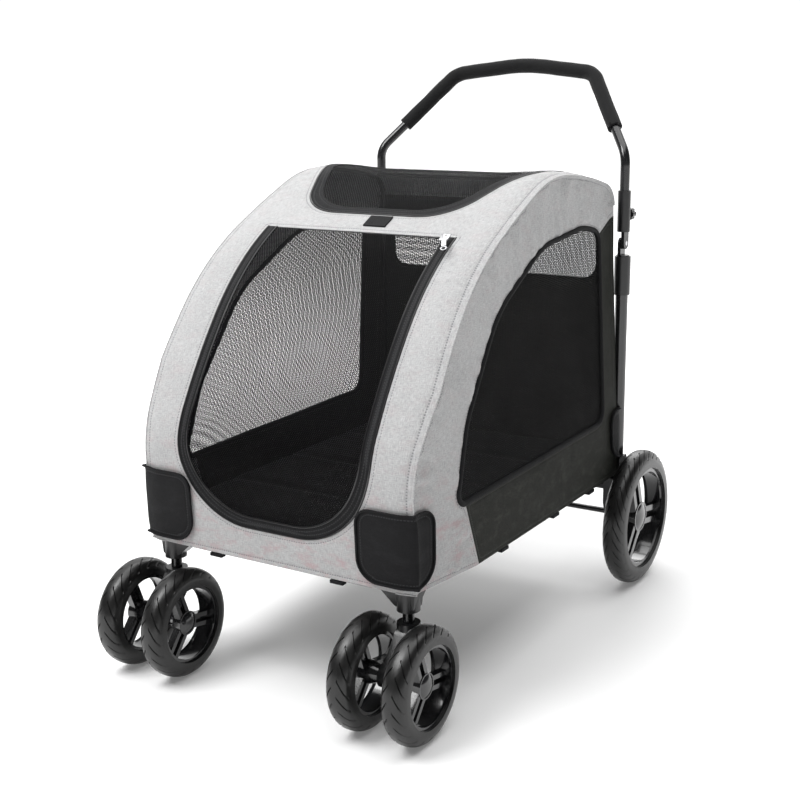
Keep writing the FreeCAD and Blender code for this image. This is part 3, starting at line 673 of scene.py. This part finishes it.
# %% [markdown]
# A finished piece goes into the scene the same way each time: mesh, object, finish, the CAD body that it
# rides on, and the CAD node that it stands for, which it hides. Each soft piece gets a mesh of its own.


def area_of(bm):
    return sum(f.calc_area() for f in bm.faces)


def put(name, bm, finish, body, stands_for=(), sharp=38):
    """Turns a bmesh into a piece of the scene."""
    mesh = bpy.data.meshes.new(name)
    bm.to_mesh(mesh)
    bm.free()
    mesh.polygons.foreach_set("use_smooth", [True] * len(mesh.polygons))
    mesh.set_sharp_from_angle(angle=math.radians(sharp))
    mesh.materials.append(finish.material)
    piece = bpy.data.objects.new(name, mesh)
    bpy.context.scene.collection.objects.link(piece)
    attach(piece, body)
    if stands_for:
        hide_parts(*stands_for)
    print(f"{name}: {len(mesh.polygons)} faces")
    return piece


def fold(piece):
    """Gives a soft piece a mesh of its own."""
    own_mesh(piece)


def thicken(bm, thickness):
    """Gives a sheet its thickness, inwards."""
    bm.normal_update()
    made = bmesh.ops.extrude_face_region(bm, geom=bm.faces[:], use_keep_orig=True)["geom"]
    for v in (g for g in made if isinstance(g, bmesh.types.BMVert)):
        v.co -= v.normal * thickness
    bmesh.ops.recalc_face_normals(bm, faces=bm.faces[:])


def cloth(name, node, way, finish, body, flat, pitch, wave, pucker, thickness, seed, shape=None,
          axes="xyz"):
    """A cloth piece in place of a CAD sheet."""
    bm = cad_copy(node)
    outer_face(bm, way)
    slice_up(bm, pitch, axes)
    numbers = seam_numbers(bm)
    add_maps(bm, way, numbers)
    if way in ("round", "side"):
        soften_all(bm)
    crumple(bm, numbers, wave, pucker, seed)
    if shape:
        shape(bm, numbers)
    area = area_of(bm)
    print(f"  {name}: area {area:.4f} of {flat[0] * flat[1]:.4f}")
    thicken(bm, thickness)
    piece = put(name, bm, finish, body, [node])
    fold(piece)


# %% [markdown]
# The hood is one long sheet: up the front round the door, over the roof round its flap, and down to the
# back. It is stretched over the bows, so it has only slow waves, and short puckers at its seams.

# %% Hood
cloth_t = 2.2 * mm
cloth(
    "hood", "hood_panel", "round", heather, "base", flat=(0.50, 1.16), pitch=8 * mm, wave=2.6 * mm,
    pucker=2.0 * mm, thickness=cloth_t, seed=1)

# %% [markdown]
# Each side has a pale arch band that curves round the window, and a dark panel below and behind it. Where
# the band meets the curved front seam it is gathered, which makes short folds that point away from the
# seam.

# %% Sides
for side, seed in (("left", 2), ("right", 5)):
    cloth(
        f"arch_band_{side}", f"side_band_{side}", "side", heather, "base", flat=(0.18, 0.72), pitch=5 * mm,
        wave=2.4 * mm, pucker=10.0 * mm, thickness=cloth_t, seed=seed, axes="yz")
    cloth(
        f"dark_panel_{side}", f"side_panel_{side}", "side", charcoal, "base", flat=(0.22, 0.70), pitch=9 * mm,
        wave=2.4 * mm, pucker=1.2 * mm, thickness=cloth_t, seed=seed + 1, axes="yz")
cloth(
    "back_cloth", "back_panel", "back", charcoal, "base", flat=(0.53, 0.48), pitch=10 * mm,
    wave=2.4 * mm, pucker=1.2 * mm, thickness=cloth_t, seed=8, axes="xz")

# %% [markdown]
# The nets are stretched in their openings. Pulled on by their edges, they bow in slightly, and the roof one
# most.

# %% Nets


def sag(depth, width):
    """Lets the middle of a sheet fall in by depth."""

    def shape(bm, numbers):
        bm.normal_update()
        moves = [v.normal * -depth * smooth_share(edge, 0, width) for v, (edge, _) in zip(bm.verts, numbers)]
        for v, move in zip(bm.verts, moves):
            v.co += move

    return shape


net_t = 0.5 * mm
cloth(
    "side_nets", "side_windows", "side", net, "base", flat=(1.04, 0.36), pitch=12 * mm, wave=2.0 * mm,
    pucker=0.4 * mm, thickness=net_t, seed=11, shape=sag(3 * mm, 0.10), axes="yz")
cloth(
    "rear_net", "rear_window", "back", net, "base", flat=(0.42, 0.10), pitch=10 * mm, wave=1.0 * mm,
    pucker=0.4 * mm, thickness=net_t, seed=12, shape=sag(2 * mm, 0.06), axes="xz")
cloth(
    "door_net", "door_mesh", "round", net, "door", flat=(0.32, 0.58), pitch=10 * mm, wave=2.0 * mm,
    pucker=0.5 * mm, thickness=net_t, seed=13, shape=sag(2 * mm, 0.08))
cloth(
    "roof_net", "roof_mesh", "round", net, "roof_flap", flat=(0.38, 0.31), pitch=10 * mm, wave=1.5 * mm,
    pucker=0.5 * mm, thickness=net_t, seed=14, shape=sag(9 * mm, 0.12))

# %% [markdown]
# The door and the roof flap are edged with wide black tape, folded over and stitched, with the zip's coil
# along it. The tape is narrow, so its cells are small enough for two raised folds.

# %% Bindings


def folded_edge(bm, numbers):
    """A soft ridge along each rim of the tape."""
    ridge, reach = 0.9 * mm, 0.009
    bm.normal_update()
    lifts = [ridge * math.sin(math.pi * smooth_share(edge, 0, reach)) for edge, _ in numbers]
    for v, lift in zip(bm.verts, lifts):
        v.co += v.normal * lift


for name, node, body, flat, seed in (
        ("door_tape", "door_binding", "door", (0.020, 1.62), 15),
        ("roof_tape", "roof_binding", "roof_flap", (0.020, 1.40), 16)):
    cloth(
        name, node, "round", tape, body, flat=flat, pitch=3.2 * mm, wave=0.6 * mm, pucker=0.5 * mm,
        thickness=1.8 * mm, seed=seed, shape=folded_edge)

# %% [markdown]
# Seams are made with rope-like strips: a line taken from a sheet's own rim, given a round section as a
# curve, and then turned into a mesh. The zip's coil, the thick soft edge of a side window and the welt of a
# pad are all this.

# %% Strips along a rim


def thinned(points, gap):
    """The points without those that lie nearer than the gap to the last one kept."""
    kept = [points[0]]
    for point in points[1:]:
        if (point - kept[-1]).length > gap:
            kept.append(point)
    return kept


def rim_lines(node, way, pitch=6 * mm):
    """The rims of a CAD sheet's outer face, as lists of points about pitch apart."""
    bm = cad_copy(node)
    outer_face(bm, way)
    bmesh.ops.dissolve_limit(bm, angle_limit=math.radians(0.3), verts=bm.verts[:], edges=bm.edges[:])
    lines = []
    for walk in rim_walks(bm):
        corners = [v.co.copy() for v in walk]
        line = []
        for a, b in zip(corners, corners[1:]):
            parts = max(1, round((b - a).length / pitch))
            line += [a.lerp(b, i / parts) for i in range(parts)]
        lines.append(thinned(line, pitch * 0.45))
    bm.free()
    return sorted(lines, key=lambda line: -len(line))


def evaluated(thing):
    """A new mesh of a thing with its bevel or modifiers applied."""
    view = bpy.context.evaluated_depsgraph_get()
    return bpy.data.meshes.new_from_object(thing.evaluated_get(view))


def strip(points, radius, closed, rounds=2):
    """A bmesh of a round strip along the points."""
    curve = bpy.data.curves.new("strip", "CURVE")
    curve.dimensions = "3D"
    curve.bevel_depth = radius
    curve.bevel_resolution = rounds
    curve.use_fill_caps = not closed
    run = curve.splines.new("POLY")
    run.points.add(len(points) - 1)
    for spot, point in zip(run.points, points):
        spot.co = (*point, 1)
    run.use_cyclic_u = closed
    holder = bpy.data.objects.new("strip", curve)
    bpy.context.scene.collection.objects.link(holder)
    bm = bmesh.new()
    bm.from_mesh(evaluated(holder))
    bpy.data.objects.remove(holder)
    bmesh.ops.remove_doubles(bm, verts=bm.verts[:], dist=weld)
    bmesh.ops.recalc_face_normals(bm, faces=bm.faces[:])
    return bm


def joined(parts):
    """Several bmeshes as one."""
    whole = bmesh.new()
    for part in parts:
        mesh = bpy.data.meshes.new("part")
        part.to_mesh(mesh)
        whole.from_mesh(mesh)
        part.free()
        bpy.data.meshes.remove(mesh)
    return whole


def add_plain_maps(bm, way):
    """The two cloth maps for a piece without stitching: every point counts as far from a seam."""
    for layer in ("cloth", "seam"):
        old = bm.loops.layers.uv.get(layer)
        if old:
            bm.loops.layers.uv.remove(old)
    add_maps(bm, way, [(0.05, 0.0)] * len(bm.verts))


# %% [markdown]
# Round each side window runs a thick soft edge: the net's seam allowance, rolled and stitched down.

# %% Window edging
window_lines = rim_lines("side_windows", "side")[:2]
edging = joined([strip(line, 4.6 * mm, True, 3) for line in window_lines])
add_plain_maps(edging, "side")
fold(put("window_edging", edging, tape, "base"))

# %% [markdown]
# The zip's coil runs along the rim of the door's tape and of the roof flap's. It is a plain thin cord.

# %% Zips


def zip_coil(name, node, body):
    """A thin cord along the longest rim of a tape."""
    bm = strip(rim_lines(node, "round", 2.4 * mm)[0], 1.5 * mm, True)
    add_plain_maps(bm, "round")
    fold(put(name, bm, satin, body))


zip_coil("door_zip", "door_binding", "door")
zip_coil("roof_zip", "roof_binding", "roof_flap")

# %% [markdown]
# Along each side of the cabin the hood is sewn to the side with a raised welt. It follows the hood's long
# rim.

# %% Welts


def side_welt(side):
    """The points of the hood's rim that lie along one side, from the hem up and over the roof."""
    sign = 1 if side == "left" else -1
    beyond_openings = 0.205
    hood_rim = [v for line in rim_lines("hood_panel", "round", 5 * mm) for v in line]
    points = [p for p in hood_rim if p.x * sign > beyond_openings]
    points.sort(key=lambda p: math.atan2(p.z - heart.z, heart.y - p.y))
    return thinned(points, 3 * mm)


for side in ("left", "right"):
    bm = strip([soften(p) for p in side_welt(side)], 1.4 * mm, False)
    add_plain_maps(bm, "side")
    fold(put(f"cabin_welt_{side}", bm, heather, "base"))

# %% [markdown]
# The spring rods that hold the cloth up are steel, but they give with the fabric when the stroller folds.
# Copies of them take their place, bent round the cabin's softened edges.

# %% Rods
for name, node in (("side_rods", "arch_rods"), ("rear_roof_bow", "roof_bow")):
    bm = cad_copy(node)
    soften_all(bm)
    fold(put(name, bm, gloss_tube, "base", [node]))

# %% [markdown]
# Small pads guard the cabin's lower corners. Each is a thin foam pad in black cloth with a piped edge. It is
# crowned in the middle and pulled down at its rim, and the part inside the rim is smoothed.

# %% Corner pads
pad_crown, pad_sink, pad_t = 2.4 * mm, 1.2 * mm, 3.4 * mm
pad_bm = cad_copy("corner_pads")
outer_face(pad_bm, "corner", limit=math.radians(35), least_facing=0.2, least_share=0.2)
slice_up(pad_bm, 4 * mm)
pad_rims = [[v.co.copy() for v in walk[:-1]] for walk in rim_walks(pad_bm) if len(walk) > 12]
print("pad rims:", [len(line) for line in pad_rims])
pad_numbers = seam_numbers(pad_bm)
add_maps(pad_bm, "corner", pad_numbers)
soften_all(pad_bm)
pad_bm.normal_update()
for v, (edge, _) in zip(pad_bm.verts, pad_numbers):
    crown = pad_crown * smooth_share(edge, 0, 0.02) - pad_sink
    v.co += v.normal * (crown + noise.noise(v.co / 0.03) * 0.5 * mm * smooth_share(edge, 0, 0.01))
inner = [v for v, (edge, _) in zip(pad_bm.verts, pad_numbers) if edge > 1e-4]
for _ in range(14):
    bmesh.ops.smooth_vert(pad_bm, verts=inner, factor=0.5, use_axis_x=True, use_axis_y=True, use_axis_z=True)
thicken(pad_bm, pad_t)
pad_piece = put("corner_pads_soft", pad_bm, tape, "base", ["corner_pads"])
fold(pad_piece)
piping = joined([strip([soften(p) for p in line], 1.9 * mm, True) for line in pad_rims])
add_plain_maps(piping, "side")
fold(put("corner_pad_piping", piping, tape, "base"))

# %% [markdown]
# The small webbing tabs under the hem and the strap in front of the roof flap keep their shapes, cut finer.
# The floor cover closes the cabin from below.

# %% Tabs, strap and floor cover


def webbing(name, node):
    """Short pieces of folded tape in place of a CAD node."""
    bm = cad_copy(node)
    area = area_of(bm) / 2
    slice_up(bm, 6 * mm)
    add_plain_maps(bm, "floor")
    piece = put(name, bm, tape, "base", [node])
    fold(piece)
    print(f"  area {area:.5f}")


webbing("webbing_tabs", "hem_tabs")
webbing("roof_strap", "roll_up_strap")
cloth(
    "floor_cloth", "floor_cover", "floor", charcoal, "base", flat=(0.52, 0.68), pitch=14 * mm, wave=1.5 * mm,
    pucker=0.6 * mm, thickness=2.0 * mm, seed=21, axes="xy")

# %% [markdown]
# The cushion is a cloth case over a soft filling. It starts as a slightly smaller block, is remeshed into
# even cells, and is blown up by the cloth simulation, which rounds it and pulls its sides in. How far a
# point may move is capped.

# %% Cushion
cushion_low, cushion_high = (Vector(c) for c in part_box("floor_cushion"))
middle = (cushion_low + cushion_high) / 2
start_share = (0.965, 0.975, 0.72)
air_steps = 20
quilt_lines, quilt_depth, quilt_width = (-0.19, -0.03, 0.13), 3.5 * mm, 0.012


def blow_up(start, cap):
    """Swells a mesh with the cloth simulation and returns the mesh."""
    holder = bpy.data.objects.new("swelling", start)
    bpy.context.scene.collection.objects.link(holder)
    remesh = holder.modifiers.new("remesh", "REMESH")
    remesh.mode = "VOXEL"
    remesh.voxel_size = 6 * mm
    even = evaluated(holder)
    holder.modifiers.clear()
    holder.data = even
    rest = [v.co.copy() for v in even.vertices]
    air = holder.modifiers.new("air", "CLOTH")
    air.settings.use_pressure = True
    air.settings.uniform_pressure_force = 4
    air.settings.effector_weights.gravity = 0
    air.point_cache.frame_start = 1
    air.point_cache.frame_end = air_steps
    for number in range(1, air_steps + 1):
        bpy.context.scene.frame_set(number)
    swollen = evaluated(holder)
    bpy.context.scene.frame_set(1)
    bpy.data.objects.remove(holder)
    for v, was in zip(swollen.vertices, rest):
        move = v.co - was
        if move.length > cap:
            v.co = was + move.normalized() * cap
    return swollen


block = cad_copy("floor_cushion")
for v in block.verts:
    for axis, share in enumerate(start_share):
        v.co[axis] = middle[axis] + (v.co[axis] - middle[axis]) * share
start_mesh = bpy.data.meshes.new("cushion_start")
block.to_mesh(start_mesh)
block.free()
bm = bmesh.new()
bm.from_mesh(blow_up(start_mesh, 8 * mm))
for v in bm.verts:
    for line in quilt_lines:
        top = smooth_share(v.co.z, middle.z, cushion_high.z)
        v.co.z -= quilt_depth * math.exp(-((v.co.y - line) / quilt_width) ** 2) * top
    v.co.z += 1.2 * mm * noise.noise(v.co / 0.06)
    v.co.z = min(max(v.co.z, cushion_low.z), cushion_high.z + 4 * mm)
    v.co.x = min(max(v.co.x, cushion_low.x), cushion_high.x)
    v.co.y = min(max(v.co.y, cushion_low.y), cushion_high.y)
bmesh.ops.recalc_face_normals(bm, faces=bm.faces[:])
add_plain_maps(bm, "floor")
cushion = put("cushion", bm, plush, "base", ["floor_cushion"])
fold(cushion)

# %% [markdown]
# The grip is a foam sleeve over the handle bar, and a little lumpy.

# %% Foam grip
bm = cad_copy("foam_grip")
slice_up(bm, 7 * mm)
bm.normal_update()
lumps = [noise.noise(v.co / 0.02) * 0.45 * mm + noise.noise(v.co / 0.006) * 0.15 * mm for v in bm.verts]
for v, lump in zip(bm.verts, lumps):
    v.co += v.normal * lump
grip = put("grip_sleeve", bm, foam, "handle", ["foam_grip"])

# %% [markdown]
# A tyre is turned: one closed section spun round the axle. Its tread is a row of narrow grooves on each
# shoulder, sunk with an inset, and then the whole tyre is twisted a little between crown and bead, which
# slants the grooves.

# %% Tyres
section_parts = 28
groove_depth, twist = 1.5 * mm, 0.42


def tyre_section(half, inner, outer):
    """A closed section: (offset along the axle, radius) pairs."""
    points = []
    for i in range(section_parts + 1):
        a = math.pi * i / section_parts
        x = half * math.copysign(abs(math.cos(a)) ** 0.78, math.cos(a))
        r = inner + (outer - inner) * max(0.0, math.sin(a)) ** 0.72
        bead = math.exp(-((min(i, section_parts - i) - 4) / 0.7) ** 2)
        points.append((x, r - bead * (outer - inner) * 0.035))
    return points


def build_tyre(name, node, rim, body, slices, every):
    """A tyre with a groove in every so many slices, on each shoulder."""
    low, high = (Vector(c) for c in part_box(node))
    rim_low, rim_high = (Vector(c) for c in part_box(rim))
    centre = (low + high) / 2
    half, outer = (high.x - low.x) / 2, (high.z - low.z) / 2
    inner = (rim_high.z - rim_low.z) / 2 - 1.5 * mm
    bm = bmesh.new()
    corners = [bm.verts.new(centre + Vector((x, 0, r))) for x, r in tyre_section(half, inner, outer)]
    edges = [bm.edges.new(pair) for pair in zip(corners, corners[1:] + corners[:1])]
    bmesh.ops.spin(bm, geom=corners + edges, cent=centre, axis=(1, 0, 0), angle=math.tau, steps=slices,
                   use_merge=True, use_duplicate=False)
    bmesh.ops.remove_doubles(bm, verts=bm.verts[:], dist=weld)
    bmesh.ops.recalc_face_normals(bm, faces=bm.faces[:])
    grooves = []
    for face in bm.faces:
        at = face.calc_center_median() - centre
        radius = math.hypot(at.y, at.z)
        slice_number = int((math.atan2(at.z, at.y) / math.tau % 1) * slices)
        offset = 0 if at.x > 0 else every // 2
        on_turn = (slice_number + offset) % every == 0
        on_shoulder = 0.10 < abs(at.x) / half < 0.97 and radius > (inner + outer) / 2
        if on_turn and on_shoulder:
            grooves.append(face)
    slice_length = outer * math.tau / slices
    bmesh.ops.inset_region(bm, faces=grooves, thickness=0.32 * slice_length, depth=-groove_depth,
                           use_even_offset=True, use_boundary=True)
    for v in bm.verts:
        at = v.co - centre
        angle = twist * ((abs(at.x) / half) ** 1.6)
        v.co = centre + Matrix.Rotation(angle, 3, "X") @ at
    put(name, bm, rubber, body, [node], 32)


for side in ("left", "right"):
    for place in ("outer", "inner"):
        which = f"{side}_{place}"
        build_tyre(f"caster_tyre_{which}", f"tyre_{which}", f"rim_{which}", f"wheel_{which}", 132, 6)
    build_tyre(f"big_tyre_{side}", f"rear_tyre_{side}", f"rear_rim_{side}", f"rear_wheel_{side}", 160, 5)

# %% [markdown]
# The door's zip slider is a small bright casting with a bridge, and a pull with an eye at its end. It lies
# on the door's slope, so it is built flat, tilted, and moved to its place.

# %% Zip slider
slide_low, slide_high = (Vector(c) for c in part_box("zipper_slider"))
slope = math.atan2(slide_high.y - slide_low.y - 3 * mm, slide_high.z - slide_low.z - 3 * mm)


def rounded_box(bm, size, centre, edge):
    """Adds a box with rounded edges."""
    made = bmesh.ops.create_cube(bm, size=1)["verts"]
    bmesh.ops.scale(bm, vec=size, verts=made)
    bmesh.ops.translate(bm, vec=centre, verts=made)
    box_edges = list({e for v in made for e in v.link_edges})
    box_edges.sort(key=lambda e: tuple(e.verts[0].co) + tuple(e.verts[1].co))
    bmesh.ops.bevel(bm, geom=box_edges, offset=edge, segments=3, profile=0.5, affect="EDGES", material=-1)


bm = bmesh.new()
pull_y, eye_z, eye_radius = -5.4 * mm, -30 * mm, 3.4 * mm
rounded_box(bm, (11 * mm, 3.2 * mm, 14 * mm), (0, -1.8 * mm, 0), 1.2 * mm)
rounded_box(bm, (3 * mm, 2.4 * mm, 9 * mm), (0, -4.2 * mm, 0), 0.8 * mm)
rounded_box(bm, (6 * mm, 1.6 * mm, 22 * mm), (0, pull_y, -14 * mm), 0.6 * mm)
ring = bmesh.ops.create_circle(bm, segments=12, radius=0.9 * mm, cap_ends=False)["verts"]
ring_middle = (eye_radius, pull_y, eye_z)
bmesh.ops.translate(bm, vec=ring_middle, verts=ring)
ring_edges = [e for e in bm.edges if e.verts[0] in ring and e.verts[1] in ring]
upended = Matrix.Rotation(math.pi / 2, 3, "X")
bmesh.ops.rotate(bm, verts=ring, cent=ring_middle, matrix=upended)
bmesh.ops.spin(bm, geom=ring + ring_edges, cent=(0, pull_y, eye_z), axis=(0, 1, 0), angle=math.tau, steps=24,
               use_merge=True, use_duplicate=False)
bmesh.ops.remove_doubles(bm, verts=bm.verts[:], dist=weld)
bmesh.ops.recalc_face_normals(bm, faces=bm.faces[:])

# The pull swings to one side. Then the whole slider is enlarged, laid on the slope and moved to its place.
pull_verts = [v for v in bm.verts if v.co.y < -4.5 * mm]
swing = Matrix.Rotation(math.radians(-24), 3, "Y")
bmesh.ops.rotate(bm, verts=pull_verts, cent=(0, 0, 0), matrix=swing)
bmesh.ops.scale(bm, vec=(1.25, 1.1, 1.15), verts=bm.verts[:])
bmesh.ops.rotate(bm, verts=bm.verts[:], cent=(0, 0, 0), matrix=Matrix.Rotation(-slope, 3, "X"))
slider_x = (slide_low.x + slide_high.x) / 2 - 2 * mm
slider_place = (slider_x, slide_high.y - 11 * mm, slide_high.z - 3 * mm)
bmesh.ops.translate(bm, vec=slider_place, verts=bm.verts[:])
put("zip_slider", bm, zinc, "door", ["zipper_slider"], 30)

# %% [markdown]
# Last, a pale floor to stand on. It glows more the farther away it is, so that it runs into the white
# surround without a line. It belongs to the studio and not to the stroller.

# %% Floor
ground_finish = Finish("studio_floor", Roughness=0.9, Specular_IOR_Level=0.1, Emission_Strength=1.0)
speckle = ground_finish.noise(ground_finish.place(), 3, 2)
ground_finish.colour(ground_finish.mix(speckle, (0.84, 0.84, 0.84, 1), (0.87, 0.87, 0.87, 1)))
far_off = ground_finish.node("ShaderNodeVectorMath", {"operation": "LENGTH"}, {0: ground_finish.place()}, 1)
glow = ground_finish.mix(far_off.step(0.6, 2.4), (0.14, 0.14, 0.14, 1), (0.95, 0.95, 0.95, 1))
ground_finish.feed(ground_finish.shader.inputs["Emission Color"], glow)
bm = bmesh.new()
bmesh.ops.create_grid(bm, x_segments=8, y_segments=8, size=40)
floor_mesh = bpy.data.meshes.new("floor")
bm.to_mesh(floor_mesh)
bm.free()
floor_mesh.materials.append(ground_finish.material)
floor = bpy.data.objects.new("floor", floor_mesh)
bpy.context.scene.collection.objects.link(floor)
